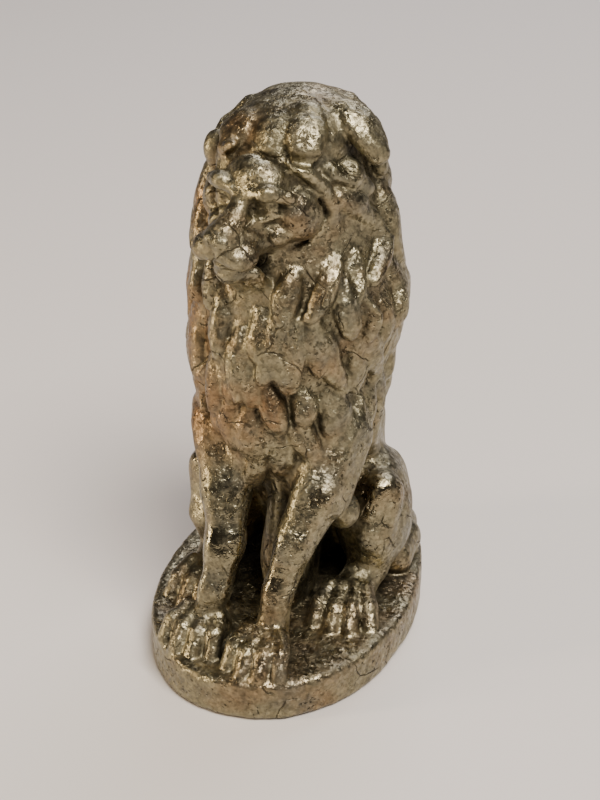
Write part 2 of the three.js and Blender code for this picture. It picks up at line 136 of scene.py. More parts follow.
def stroke(points, outwards, widths, rises, blend, squareness=2.0, strands=0.0, outline=0.0):
    """A lock of hair in low relief: wide, thin, and lying on the surface. The squareness
    of its section is 1 for a sharp ridge, 2 for a round one, and more for a flat top. It
    is set off from what is round it by a groove as wide as its outline."""
    points = [np.array(p, float) for p in points]
    if outline:
        grown = [w + 2 * outline for w in widths], [r + 0.5 * outline for r in rises]
        sunk = [p - 0.25 * outline * o / np.linalg.norm(o) for p, o in zip(points, outwards)]
        stroke(sunk, outwards, *grown, blend, squareness, 0.0, None)
    for i in range(len(points) - 1):
        start, end = points[i], points[i + 1]
        reach = max(widths[i], widths[i + 1]) / 2 + SKIN + blend
        slices, (x, y, z) = patch(np.minimum(start, end) - reach, np.maximum(start, end) + reach)
        along = end - start
        length = np.linalg.norm(along)
        along = along / length
        rise = outwards[i] + outwards[i + 1]
        rise = rise - along * np.dot(rise, along)
        rise = rise / np.linalg.norm(rise)
        side = np.cross(along, rise)
        x, y, z = x - start[0], y - start[1], z - start[2]
        reached = x * along[0] + y * along[1] + z * along[2]
        t = np.clip(reached / length, 0, 1)
        beyond = reached - t * length
        across = x * side[0] + y * side[1] + z * side[2]
        height = np.abs(x * rise[0] + y * rise[1] + z * rise[2])
        half = (widths[i] + (widths[i + 1] - widths[i]) * t) / 2
        thick = rises[i] + (rises[i + 1] - rises[i]) * t
        if strands:
            thick = thick * (1 - strands * (0.5 - 0.5 * np.cos(across * 2 * np.pi / 0.95)))
        flat = np.sqrt(across * across + beyond * beyond) / half
        section = (flat ** squareness + (height / thick) ** squareness) ** (1 / squareness)
        merge(slices, (section - 1) * thick, blend, cut=outline is None)


def turned(angles):
    """The matrix of turns by degrees about X, then Y, then Z."""
    x, y, z = (math.radians(a) for a in angles)
    return np.array(Matrix.Rotation(z, 3, "Z") @ Matrix.Rotation(y, 3, "Y") @ Matrix.Rotation(x, 3, "X"))


def lobe(centre, radii, angles, blend, cut=False, squareness=2.0):
    """An ellipsoid, or with more squareness a blockier form."""
    centre = np.array(centre, float)
    reach = max(radii) + SKIN + blend
    slices, (x, y, z) = patch(centre - reach, centre + reach)
    x, y, z = x - centre[0], y - centre[1], z - centre[2]
    rows = turned(angles).T
    own = [np.abs(r[0] * x + r[1] * y + r[2] * z) / size for r, size in zip(rows, radii)]
    near = sum(a ** squareness for a in own) ** (1 / squareness)
    near = np.maximum(near, 1e-3)
    lean = [(a / near) ** (squareness - 1) / size for a, size in zip(own, radii)]
    slope = np.sqrt(sum(a * a for a in lean))
    merge(slices, (near - 1) / np.maximum(slope, 1e-3), blend, cut)


# Body under the mane: a column of ellipses. Each station is its height, the centre in x
# and y, and the half widths in x and y.
MANE_STATIONS = np.array([
    [20.0, -0.6, 3.0, 7.8, 9.0],
    [24.0, -0.4, 2.0, 8.3, 10.4],
    [28.0, 0.0, 1.4, 8.8, 11.2],
    [34.5, -0.3, 1.0, 10.0, 11.6],
    [42.0, 0.9, 0.6, 10.6, 11.2],
    [49.5, 0.3, 0.6, 9.7, 9.8],
    [56.0, 0.7, 0.6, 7.7, 8.4],
    [60.5, 1.0, 0.4, 6.6, 6.8],
    [62.6, 1.2, 0.2, 5.2, 4.8],
])
MANE_FULLER = 0.1  # the hair's own thickness on the column


def mane_section(height):
    return [np.interp(height, MANE_STATIONS[:, 0], MANE_STATIONS[:, k]) for k in (1, 2, 3, 4)]


def on_mane(angle, height, lift):
    """A point on the mane. Angle 0 is the front, 90 the lion's left; lift is outwards."""
    cx, cy, a, b = mane_section(height)
    sine, cosine = math.sin(math.radians(angle)), math.cos(math.radians(angle))
    return np.array([cx + (a + lift) * sine, cy - (b + lift) * cosine, height])


def mane_distance(x, y, z, grown):
    cx, cy, a, b = mane_section(z)
    a, b = a + grown, b + grown
    return (np.sqrt(((x - cx) / a) ** 2 + ((y - cy) / b) ** 2) - 1) * np.minimum(a, b)


low, high = MANE_STATIONS[0, 0], MANE_STATIONS[-1, 0]
slices, (x, y, z) = patch(np.array([-16, -16, low - 2]), np.array([16, 18, high + 2]))
merge(slices, np.maximum(np.maximum(mane_distance(x, y, z, MANE_FULLER), low - z), z - high))

# Locks of hair over the chest, the neck and the sides, worn low. Each is its width, the
# squareness of its section, and its course on the mane from root to tip, as angles and
# heights.
FRONT_LOCKS = [
    [3.5, 2.6, [(13, 43.2), (13, 40.6), (15, 38.3), (18, 35.4)]],
    [2.9, 2.2, [(3, 42.4), (6, 39.3), (4, 36.2)]],
    [2.3, 2.0, [(-4, 43.4), (-4, 40.8), (-1, 38.4)]],
    [2.8, 2.2, [(-14, 41.2), (-13, 38.0), (-10, 34.2)]],
    [2.7, 2.0, [(-29, 44.8), (-29, 41.4), (-25, 38.2)]],
    [4.0, 2.0, [(-54, 43.5), (-61, 38.8), (-50, 34.4)]],
    [3.2, 2.0, [(-39, 35.0), (-53, 31.6), (-48, 28.6)]],
    [3.2, 2.0, [(-60, 29.0), (-58, 24.6), (-60, 20.4)]],
    [3.2, 2.4, [(-6, 32.2), (-9, 29.2), (-6, 27.0)]],
    [2.8, 2.2, [(4, 35.0), (9, 32.7), (15, 30.3)]],
    [2.8, 2.4, [(26, 34.2), (29, 32.8), (28, 31.0)]],
    [3.6, 2.4, [(43, 34.0), (48, 31.6), (45, 29.3)]],
    [2.6, 2.0, [(34, 41.0), (39, 37.9), (53, 34.2)]],
    [2.9, 2.2, [(55, 39.2), (61, 36.4), (60, 33.9)]],
    [2.6, 2.0, [(59, 41.0), (66, 38.1), (76, 34.6)]],
    [3.6, 2.0, [(78, 42.2), (90, 37.5), (84, 33.0)]],
    [2.9, 1.2, [(45, 48.6), (36, 46.3), (24, 43.4)]],
    [2.8, 2.0, [(17, 47.2), (11, 45.0), (9, 43.0)]],
    [2.2, 1.2, [(59, 48.8), (57, 45.9), (50, 43.9)]],
    [2.2, 1.2, [(79, 52.2), (85, 49.0), (76, 47.2), (64, 45.7)]],
    [3.5, 2.0, [(88, 47.0), (97, 43.0), (84, 39.8)]],
    [2.0, 1.2, [(59, 44.3), (61, 42.0), (59, 39.9)]],
    [3.0, 2.0, [(47, 46.4), (44, 44.0), (45, 41.2)]],
    [2.6, 2.0, [(25, 43.0), (28, 40.1), (33, 37.2)]],
    [3.0, 2.2, [(25, 30.7), (28, 29.0), (36, 26.0)]],
    [3.0, 2.2, [(43, 29.2), (43, 26.5), (40, 23.4)]],
    [2.8, 2.2, [(56, 29.4), (55, 26.5), (51, 23.8)]],
    [2.8, 2.0, [(68, 31.4), (66, 29.0), (58, 27.1)]],
    [2.7, 2.0, [(82, 32.4), (79, 29.5), (71, 27.9)]],
    [2.8, 2.0, [(-16, 33.9), (-20, 30.5), (-18, 27.6)]],
    [2.7, 2.2, [(-32, 29.6), (-38, 25.6), (-42, 21.6)]],
    [2.6, 2.0, [(3, 30.6), (2, 28.0), (-1, 25.3)]],
    [2.9, 2.2, [(-2, 27.0), (-2, 24.7), (-4, 22.4)]],
    [2.9, 2.2, [(14, 28.9), (16, 26.3), (16, 23.3)]],
    [2.7, 2.0, [(-19, 27.6), (-17, 25.1), (-18, 22.1)]],
    [2.8, 2.2, [(28, 26.2), (28, 23.6), (25, 20.8)]],
    [3.0, 2.0, [(-72, 54.2), (-70, 51.4), (-60, 48.6)]],
    [3.2, 2.0, [(-58, 49.2), (-60, 45.6), (-54, 42.8)]],
    [2.5, 2.0, [(-38, 48.4), (-36, 45.8), (-36, 43.2)]],
    [2.4, 2.0, [(-19, 39.5), (-19, 36.5), (-16, 33.6)]],
    [2.7, 2.0, [(-30, 38.3), (-28, 35.1), (-29, 31.9)]],
    [2.7, 2.0, [(-5, 38.7), (-5, 35.7), (-2, 33.3)]],
    [3.2, 2.0, [(-76, 46.5), (-82, 42.0), (-78, 38.0)]],
    [3.2, 2.0, [(-74, 37.5), (-76, 33.4), (-74, 29.6)]],
    [2.6, 2.0, [(-25, 34.0), (-28, 31.0), (-30, 28.6)]],
    [3.0, 2.0, [(-80, 30.5), (-78, 27.0), (-80, 23.2)]],
    [3.0, 2.0, [(92, 33.5), (94, 29.6), (88, 26.2)]],
    [2.6, 2.0, [(-88, 56.0), (-90, 51.6), (-84, 47.4)]],
    [2.8, 2.0, [(100, 55.0), (96, 51.0), (102, 46.6)]],
    [2.6, 2.0, [(72, 42.8), (76, 40.2), (70, 37.4)]],
]
LOCK_STEPS = 6


def lock(course, width, squareness, rise, number):
    """One lock, narrow at its root, full below the middle, and lifted towards its tip."""
    course = np.array(course, float)
    shares = np.linspace(0, 1, len(course))
    points, widths, rises, outwards = [], [], [], []
    for t in np.linspace(0, 1, LOCK_STEPS + 1):
        angle, height = (np.interp(t, shares, course[:, k]) for k in (0, 1))
        points.append(on_mane(angle, height, MANE_FULLER + rise * (0.75 * min(1, 1.4 * t) - 0.35)))
        outwards.append(on_mane(angle, height, 1) - on_mane(angle, height, 0))
        fullness = 0.34 + 0.66 * math.sin(math.pi * (0.14 + 0.72 * t))
        widths.append(width * fullness)
        rises.append(rise * (0.7 + 0.3 * fullness))
    stroke(points, outwards, widths, rises, 0.22, squareness, 0.1 + 0.12 * (number % 3 == 0))


for number, (width, squareness, course) in enumerate(FRONT_LOCKS):
    lock(course, width, squareness, 1.25 + 0.25 * math.sin(number * 2.4), number)

# Rows of locks from the left side round the back to the right, each row overlapping the
# one below: height of the roots, how many locks, their length and width.
BACK_ROWS = [
    [28.5, 7, 7.5, 4.6],
    [34.5, 8, 8.5, 4.8],
    [41.0, 8, 9.0, 4.8],
    [47.5, 8, 9.0, 4.6],
    [54.0, 7, 9.0, 4.4],
    [60.0, 7, 8.5, 4.2],
]
BACK_FROM, BACK_TO = 106, 280

for row, (height, count, length, width) in enumerate(BACK_ROWS):
    for i in range(int(count)):
        share = (i + (row % 2) / 2) / (count - 0.5)
        angle = BACK_FROM + (BACK_TO - BACK_FROM) * share
        wave = math.sin(i * 2.4 + row * 1.7)
        bow = 4 * math.copysign(1, wave)
        course = [(angle, height + wave), (angle + bow, height + wave - length * 0.35),
                  (angle + 4 * wave - bow, height + wave - length * 0.72),
                  (angle + 6 * wave, height + wave - length)]
        lock(course, width, 2 + (i % 3) * 0.2, 1.5, i + row)

# Wear: the mane is rubbed down to an uneven level.
worn_level = MANE_FULLER + 1.75 + 0.45 * soft_noise(3.6)
slices, (x, y, z) = patch(np.array([-18, -18, 18.0]), np.array([18, 18, 64.0]))
merge(slices, -mane_distance(x, y, z, worn_level[slices]), 0.4, cut=True)

# Trunk, from the shoulders to the rump, and the web of stone behind the fore legs.
limb([(-0.2, 4, 31), (0.1, 7.0, 20), (0.1, 9.8, 11)], [9.0, 8.4, 8.4], 2.0)
lobe((1.0, -2.0, 12), (2.8, 7.4, 13), (0, 0, 0), 1.5)

# Legs. The fore legs are ground to long flats, whose edges are rubbed bright.
HIP_SHIFT = 0.35  # the left haunch is the fuller
limb([(6.6, -4.6, 27), (6.2, -8.2, 22), (4.1, -11.6, 16.8), (2.8, -13.6, 11.5), (2.5, -14.6, 8)],
     [4.0, 3.1, 2.3, 1.8, 1.9], 0.8, flats=[(-0.95, -0.35, 0.1), (0.2, -1, 0.35), (0.9, -0.35, 0)])
limb([(-6.6, -4.6, 27), (-4.7, -8.4, 21.5), (-4.0, -11.8, 15.5), (-4.4, -13.4, 10.8), (-5.0, -13.8, 8)],
     [4.2, 3.1, 2.4, 1.9, 1.9], 0.8, flats=[(0.35, -1, 0.3), (-0.95, -0.3, 0.1), (1, 0.1, 0)])
lobe((7.4, -5.0, 18.0), (2.0, 3.0, 2.0), (-25, 0, 20), 0.4)
lobe((-6.8, -5.0, 18.0), (2.0, 3.0, 2.0), (-25, 0, -20), 0.4)
for side in (-1, 1):
    lobe((HIP_SHIFT + side * 8.4, 4.8, 12.8), (4.6, 7.6, 7.6), (-14, 0, side * 8), 0.8)
    knee = (HIP_SHIFT + side * 10.5, 0.6, 17.6)
    shin = (HIP_SHIFT + side * 9.6, -0.8, 12.4)
    heel = (HIP_SHIFT + side * 9.0, 0.6, 7.4)
    limb([knee, shin, heel, (side * 8.6, -2.6, 6.2)], [2.5, 2.3, 2.3, 2.3], 0.6,
         flats=[(-side * 0.8, -0.7, 0.2), (side * 0.5, -0.9, 0.2)])

# Paws: toes fan out from the knuckles, each a short roll that ends in a rounded tip.
TOES = 4


def paw(knuckles, aim, width, length):
    knuckles = np.array(knuckles, float)
    forward = np.array([math.sin(math.radians(aim)), -math.cos(math.radians(aim)), 0])
    across = np.array([-forward[1], forward[0], 0])
    lobe(knuckles - [0, 0, 0.4], (width * 0.5, length * 0.5, 1.9), (0, 0, aim), 0.8)
    for i in range(TOES):
        share = i / (TOES - 1) - 0.5
        root = knuckles + across * share * width * 0.66 + [0, 0, 1.3]
        tip = knuckles + across * share * width + forward * length * (0.66 - 0.6 * share * share)
        tip = tip + [0, 0, -1.3]
        middle = root + (tip - root) * 0.62 + [0, 0, 0.65]
        limb([root, middle, tip], [0.9, 1.05, 0.95], 0.25)


paw((2.0, -16.2, 6.4), -3, 5.8, 6.8)
paw((-5.6, -14.2, 6.4), -13, 6.2, 6.4)
for side in (-1, 1):
    paw((side * 8.2, -4.8, 6.3), side * 8, 6.4, 7.4)

# The tail lies on the base, from the rump round the lion's left side to its tuft.
limb([(-1.0, 17.8, 6.3), (6.0, 17.4, 6.1), (10.0, 13.0, 6.2), (11.2, 8.6, 6.6), (11.6, 4.8, 6.4)],
     [1.8, 1.8, 2.0, 2.4, 2.1], 0.6)

# Head. Its own axes are left, forwards and up. It is turned to the lion's right, tipped
# down a little, and leans so that the left ear is the higher. The face is cut in low
# relief, and worn.
HEAD_CENTRE = np.array([0.6, -3.4, 55.6])
HEAD_TURN, HEAD_TIP, HEAD_LEAN = 14, 5, 4
HEAD_ANGLES = (HEAD_TIP, HEAD_LEAN, -HEAD_TURN)
HEAD_AXES = turned(HEAD_ANGLES) @ np.diag([1, -1, 1])


def in_head(left, forward, up):
    return HEAD_CENTRE + HEAD_AXES @ [left, forward, up]


def head_lobe(place, radii, blend, **more):
    lobe(in_head(*place), radii, HEAD_ANGLES, blend, **more)


def head_limb(places, radii, blend, **more):
    limb([in_head(*p) for p in places], radii, blend, **more)


head_lobe((0, 0.0, -0.4), (6.2, 7.0, 6.2), 0.8)
head_lobe((0.1, 4.4, -1.2), (4.7, 3.4, 4.9), 0.8, squareness=2.2)  # face
head_lobe((0.3, 5.8, 3.2), (3.3, 2.3, 1.9), 0.8)  # brow
head_limb([(0.2, 7.4, 1.6), (0.2, 9.2, 0.0), (0.1, 11.2, -1.1)], [1.5, 1.35, 1.35], 0.7)
head_limb([(-0.2, 5.6, -2.9), (-0.2, 10.2, -3.0)], [3.4, 2.7], 0.7)
head_lobe((-0.1, 12.2, -1.6), (1.6, 0.9, 0.8), 0.35)  # nose
head_lobe((-0.2, 9.3, -6.2), (2.0, 1.9, 1.6), 0.5)  # chin
for side in (-1, 1):
    head_lobe((side * 4.6, 4.0, -1.0), (2.0, 3.0, 2.9), 0.3)
    head_lobe((side * 2.9, 6.9, -2.7), (1.8, 1.6, 1.4), 0.6)
    head_lobe((side * 1.75 - 0.2, 10.8, -3.5), (1.9, 1.9, 1.5), 0.35)
    head_lobe((side * 2.7, 8.5, 0.6), (1.6, 1.3, 1.2), 0.5, cut=True)
    brow = [(side * 1.2, 8.1, 2.3), (side * 2.9, 7.8, 2.7), (side * 4.5, 6.5, 1.8)]
    head_limb(brow, [0.75, 0.9, 0.75], 0.5)
    head_lobe((side * 2.5, 7.1, 0.5), (1.3, 1.0, 1.15), 0.15)
    lid = [(side * 1.2, 7.9, 0.1), (side * 2.4, 8.3, -0.75), (side * 3.8, 7.2, -0.2)]
    head_limb(lid, [0.3, 0.35, 0.3], 0.25)
    head_lobe((side * 2.4, 8.1, 0.5), (0.45, 0.5, 0.4), 0.12, cut=True)
    fold = [(side * 1.6, 9.6, -0.9), (side * 2.9, 8.6, -2.2), (side * 3.3, 8.0, -3.8)]
    head_limb(fold, [0.25, 0.3, 0.3], 0.4, cut=True)
mouth = [(-2.9, 9.4, -4.8), (-1.7, 11.5, -4.8), (-0.1, 12.3, -4.4), (1.5, 11.5, -4.8), (2.4, 9.8, -5.0)]
head_limb(mouth, [0.4] * 5, 0.3, cut=True)
head_limb([(-0.3, 13.0, -2.2), (-0.3, 12.9, -3.6)], [0.35, 0.4], 0.2, cut=True)

# Beard: strands combed back from the chin.
for i in range(6):
    share = i / 5 - 0.5
    root = (share * 3.4 + 0.1, 9.5 - 3 * share * share, -6.6)
    tip = (share * 4.6 + 0.3, 7.4 - 4 * share * share, -9.8)
    head_limb([root, tip], [0.7, 0.5], 0.25)

# The border of the face, a raised edge down to the jaw, and short locks behind it.
for side in (-1, 1):
    border = [(side * 3.4, 4.6, 4.8), (side * 4.9, 3.6, 3.6), (side * 5.9, 2.0, 1.5),
              (side * 6.4, 0.8, -1.1), (side * 6.2, 0.9, -4.3), (side * 5.2, 2.0, -6.2)]
    head_limb(border, [0.6, 0.8, 0.85, 0.8, 0.7, 0.5], 0.3)
    crease = [(side * 5.6, 3.0, 0.6), (side * 5.9, 1.8, -1.5), (side * 5.0, 3.6, -4.0), (side * 3.4, 6.2, -4.9)]
    head_limb(crease, [0.3, 0.35, 0.35, 0.3], 0.25, cut=True)
    for turn, length in ((40, 3.6), (66, 4.4), (90, 5.0), (114, 5.2), (136, 5.0)):
        sine, cosine = math.sin(math.radians(turn)), math.cos(math.radians(turn))
        course = [(side * 6.6 * sine, 0.2, 6.6 * cosine), (side * 7.6 * sine, -1.8, 7.6 * cosine - length * 0.3),
                  (side * 8.3 * sine, -3.8, 8.3 * cosine - length * 0.9)]
        points = [in_head(*p) for p in course]
        stroke(points, [p - HEAD_CENTRE for p in points], [2.0, 2.8, 1.6], [0.9, 1.2, 0.8], 0.3, 2.0, 0.15)

# Crown: a low cap of hair with rolls combed forwards and to the sides, and the ears.
lobe((1.1, -0.2, CROWN_HEIGHT - 5.9), (6.5, 7.2, 5.7), (0, 0, 0), 0.6, squareness=2.4)
lobe((-6.9, -2.0, 57.6), (1.8, 1.9, 2.2), HEAD_ANGLES, 0.4)
CROWN_ROLLS = [
    [4.4, 0.9, [(-2.2, -2.6, 62.4), (-4.0, -4.4, 61.0), (-4.8, -5.4, 58.8)]],
    [3.2, 0.8, [(-0.2, -4.2, 62.9), (0.2, -6.2, 61.6), (0.4, -7.4, 60.0)]],
    [3.8, 0.9, [(3.4, -4.4, 63.0), (3.8, -6.4, 61.8), (4.4, -7.4, 60.4)]],
    [4.2, 1.3, [(5.0, -0.8, 62.6), (7.4, -1.4, 61.9), (9.2, -1.9, 60.3), (10.2, -2.2, 58.9)]],
    [3.4, 1.0, [(5.8, 2.6, 62.0), (8.4, 2.2, 59.4), (9.2, 1.6, 56.6)]],
    [3.4, 1.0, [(-4.4, 0.6, 61.8), (-6.6, 0.4, 59.0), (-7.4, 0.6, 56.0)]],
]
for width, rise, course in CROWN_ROLLS:
    points = [np.array(p) for p in course]
    middle = np.array([1.0, 0.0, 57.0])
    widths = [width * share for share in (0.75, 1.0, 0.9, 0.6)[:len(points)]]
    stroke(points, [p - middle for p in points], widths, [rise] * len(points), 0.35, 2.2, 0.12)
limb([(5.2, -4.7, 63.6), (6.6, -5.2, 62.2), (7.9, -5.1, 60.2)], [0.4, 0.5, 0.5], 0.3, cut=True)
limb([(-1.7, -5.0, 63.3), (-2.2, -6.6, 61.2), (-2.4, -7.2, 59.8)], [0.35, 0.4, 0.35], 0.3, cut=True)
limb([(1.9, -5.4, 63.6), (2.0, -7.4, 61.6)], [0.25, 0.25], 0.2, cut=True)
limb([(-3.6, -7.2, 59.2), (0.6, -8.8, 59.7), (4.8, -8.7, 59.7), (7.4, -6.8, 59.3)], [0.6] * 4, 0.4, cut=True)
lobe((8.4, -4.8, 59.2), (1.6, 1.5, 1.6), (0, 0, 0), 0.3, cut=True)

# The base: an oval plate with a worn rim.
slices, (x, y, z) = patch(field_low, np.array([field_high[0], field_high[1], BASE_HEIGHT + 2]))
oval = (np.abs(x / BASE_HALF_WIDTH) ** BASE_SQUARENESS + np.abs(y / BASE_HALF_LENGTH) ** BASE_SQUARENESS)
radial = np.sqrt(x * x + y * y) + 1e-6
edge = (oval ** (1 / BASE_SQUARENESS) - 1) * radial / np.maximum(oval ** (1 / BASE_SQUARENESS), 0.2)
thick = np.abs(z - BASE_HEIGHT / 2) - BASE_HEIGHT / 2
outside = np.sqrt(np.maximum(edge + BASE_RIM, 0) ** 2 + np.maximum(thick + BASE_RIM, 0) ** 2)
plate = outside + np.minimum(np.maximum(edge, thick) + BASE_RIM, 0) - BASE_RIM
field[:, :, AXES[2] < 1.0] = 9.0
merge(slices, plate, 0.5)

# Tool marks and wear over the whole surface.
field += 0.07 * soft_noise(1.7) + 0.05 * soft_noise(0.95)

# The skin. A cell of the grid is torn where its inner corners, or its outer ones, aren't
# all joined by edges: it is filled, so that the surface never touches itself.
CORNERS = np.array([[c & 1, (c >> 1) & 1, (c >> 2) & 1] for c in range(8)])
EDGES = [(a, a | bit) for a in range(8) for bit in (1, 2, 4) if not a & bit]


def is_torn(mask):
    for members in (mask, 255 - mask):
        todo = [c for c in range(8) if members >> c & 1]
        reached = set(todo[:1])
        for _ in range(7):
            for a, b in EDGES:
                if members >> a & 1 and members >> b & 1 and (a in reached or b in reached):
                    reached.update((a, b))
        if len(reached) < len(todo):
            return True
    return False


TORN = np.array([is_torn(mask) for mask in range(256)])


def corner_of(values, c):
    i, j, k = CORNERS[c]
    return values[i:values.shape[0] - 1 + i, j:values.shape[1] - 1 + j, k:values.shape[2] - 1 + k]


for _ in range(30):
    masks = sum((corner_of(field, c) < 0).astype(np.uint8) << c for c in range(8))
    torn = np.argwhere(TORN[masks])
    if not len(torn):
        break
    around = torn[:, None, :] + CORNERS[None]
    values = field[around[..., 0], around[..., 1], around[..., 2]]
    values[values < 0] = np.inf
    i, j, k = around[np.arange(len(torn)), values.argmin(1)].T
    field[i, j, k] = -CELL / 100

cells = np.argwhere((masks > 0) & (masks < 255))
number = np.full(masks.shape, -1)
number[tuple(cells.T)] = np.arange(len(cells))
around = cells[:, None, :] + CORNERS[None]
values = field[around[..., 0], around[..., 1], around[..., 2]]
total = np.zeros((len(cells), 3))
crossings = np.zeros(len(cells))
for a, b in EDGES:
    crosses = (values[:, a] < 0) != (values[:, b] < 0)
    t = np.where(crosses, values[:, a] / np.where(crosses, values[:, a] - values[:, b], 1), 0)
    total += np.where(crosses[:, None], CORNERS[a] + t[:, None] * (CORNERS[b] - CORNERS[a]), 0)
    crossings += crosses
vertices = field_low + CELL * (cells + total / crossings[:, None])


def sample(points):
    """Distances at any points, from the grid."""
    scaled = np.clip((points - field_low) / CELL, 0, field_count - 1.001)
    whole = scaled.astype(int)
    part = scaled - whole
    value = np.zeros(len(points))
    for step in CORNERS:
        share = np.prod(np.where(step, part, 1 - part), axis=1)
        value += share * field[tuple((whole + step).T)]
    return value


def slope(points):
    step = CELL * 0.5
    columns = [sample(points + step * axis) - sample(points - step * axis) for axis in np.eye(3)]
    return np.stack(columns, 1) / (2 * step)


start = vertices.copy()
for _ in range(3):
    lean = slope(vertices)
    steep = np.maximum((lean * lean).sum(1), 0.04)
    vertices = vertices - lean * (0.8 * sample(vertices) / steep)[:, None]
    moved = vertices - start
    far = np.maximum(np.linalg.norm(moved, axis=1) / (CELL * 0.6), 1)
    vertices = start + moved / far[:, None]

quads = []
for axis in range(3):
    u, v = np.eye(3, dtype=int)[[(axis + 1) % 3, (axis + 2) % 3]]
    ahead = np.eye(3, dtype=int)[axis]
    inner = field < 0
    here = inner[1:-1, 1:-1, 1:-1]
    there = inner[tuple(slice(1 + s, n - 1 + s) for s, n in zip(ahead, inner.shape))]
    places = np.argwhere(here != there) + 1
    ring = [number[tuple((places - m * u - n * v).T)] for m, n in ((0, 0), (1, 0), (1, 1), (0, 1))]
    ring = np.stack(ring, 1)
    flip = ~inner[tuple(places.T)]
    ring[flip] = ring[flip][:, ::-1]
    quads.append(ring)
quads = np.concatenate(quads)

outwards = slope(vertices)
outwards /= np.maximum(np.linalg.norm(outwards, axis=1), 1e-6)[:, None]
# How deep each point lies in a hollow, and how far it stands out on a ridge. The hollow share is later used to paint
# shade into the stone's colour.
hollow = np.clip(1 - sample(vertices + outwards * 1.1) / 1.1, 0, 1)
ridge = np.clip(1 + sample(vertices - outwards * 0.8) / 0.8, 0, 1)

# Where hands have rubbed it bright, and where the stone is redder: places and reaches.
RUBBED = [
    [(-4.3, -12.5, 16), 6.0], [(3.6, -13.5, 15), 6.0], [(5.6, -9.5, 21), 4.0], [(-5, -10, 21), 4.0],
    [(10.5, -1, 17.5), 4.5], [(-10, -1, 17.5), 4.0],
]
REDDER = [
    [(-10, -4, 38), 9.0], [(-6, -10, 31), 8.0], [(-9, -6, 28), 8.0], [(-8, -5, 52), 5.0], [(-4, -6, 61), 4.0],
    [(1, -12, 33), 4.0], [(2, 14, 30), 9.0],
]


def near(places):
    """1 at any of the places, down to 0 at its reach."""
    shares = [1 - np.linalg.norm(vertices - np.array(p), axis=1) / reach for p, reach in places]
    return np.clip(np.max(shares, 0) * 1.6, 0, 1)


rubbed = near(RUBBED)
rim = np.exp(-((vertices[:, 2] - BASE_HEIGHT + 0.3) / 0.5) ** 2) * ridge
rubbed = np.maximum(rubbed, np.clip(rim * 2, 0, 1))
marks = {"hollow": hollow, "ridge": ridge, "warm": near(REDDER), "rubbed": rubbed}

mesh = bpy.data.meshes.new("lion_stone")
mesh.vertices.add(len(vertices))
mesh.vertices.foreach_set("co", (vertices * MM).ravel())
mesh.loops.add(quads.size)
mesh.loops.foreach_set("vertex_index", quads.ravel())
mesh.polygons.add(len(quads))
mesh.polygons.foreach_set("loop_start", np.arange(0, quads.size, 4))
mesh.polygons.foreach_set("loop_total", np.full(len(quads), 4))
mesh.polygons.foreach_set("use_smooth", np.ones(len(quads), bool))
mesh.update(calc_edges=True)
mesh.validate()
for name, values in marks.items():
    mesh.attributes.new(name, "FLOAT", "POINT").data.foreach_set("value", values)
print("carving:", len(vertices), "vertices", 2 * len(quads), "triangles")
lion = bpy.data.objects.new("lion_stone", mesh)
bpy.context.scene.collection.objects.link(lion)
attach(lion, "root")
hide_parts(NODE)

# Pyrite: a brassy iron sulphide, ground and polished by hand. A metal to the eye, in
# grains of a few tenths of a millimetre that each shine another way, with dark pores and
# hairline cracks, bright where it is rubbed, and darkened to a dull brown in the hollows by painted shade.


def linear(hex_colour):
    parts = [int(hex_colour[i:i + 2], 16) / 255 for i in (1, 3, 5)]
    return tuple(p / 12.92 if p <= 0.04045 else ((p + 0.055) / 1.055) ** 2.4 for p in parts) + (1.0,)


def node(tree, kind, inputs=(), **settings):
    """Adds a node, sets it, and fills its sockets from values or other nodes' sockets."""
    made = tree.nodes.new(kind)
    for key, value in settings.items():
        setattr(made, key, value)
    for socket, value in dict(inputs).items():
        if isinstance(value, bpy.types.NodeSocket):
            tree.links.new(value, made.inputs[socket])
        else:
            made.inputs[socket].default_value = value
    return made


def blended(tree, share, first, second, way="MIX"):
    """Two colours in one, by a share."""
    made = node(tree, "ShaderNodeMix", {0: share, 6: first, 7: second}, data_type="RGBA", blend_type=way)
    return made.outputs[2]


def worked(tree, way, first, second):
    made = node(tree, "ShaderNodeMath", {0: first, 1: second}, operation=way)
    return made.outputs[0]


def spread(tree, value, low, high, first=0.0, last=1.0):
    """A value between low and high, moved to between first and last."""
    inputs = {"Value": value, "From Min": low, "From Max": high, "To Min": first, "To Max": last}
    return node(tree, "ShaderNodeMapRange", inputs).outputs["Result"]


def cloud(tree, place, size, detail=2.0):
    """Soft noise with blots of about a size in mm."""
    inputs = {"Vector": place, "Scale": 1 / (size * MM), "Detail": detail, "Roughness": 0.6}
    return node(tree, "ShaderNodeTexNoise", inputs).outputs["Fac"]


pyrite = bpy.data.materials.new("polished pyrite")
pyrite.use_nodes = True
tree = pyrite.node_tree
tree.nodes.clear()
place = node(tree, "ShaderNodeTexCoord").outputs["Object"]
hollow = node(tree, "ShaderNodeAttribute", attribute_name="hollow").outputs["Fac"]
ridge = node(tree, "ShaderNodeAttribute", attribute_name="ridge").outputs["Fac"]
warm = node(tree, "ShaderNodeAttribute", attribute_name="warm").outputs["Fac"]
rubbed = node(tree, "ShaderNodeAttribute", attribute_name="rubbed").outputs["Fac"]

GRAIN = 0.34  # mm across a crystal grain
grains = node(tree, "ShaderNodeTexVoronoi", {"Vector": place, "Scale": 1 / (GRAIN * MM)})
grain_way = grains.outputs["Color"]
grain_light = node(tree, "ShaderNodeSeparateColor", {"Color": grain_way}).outputs["Red"]

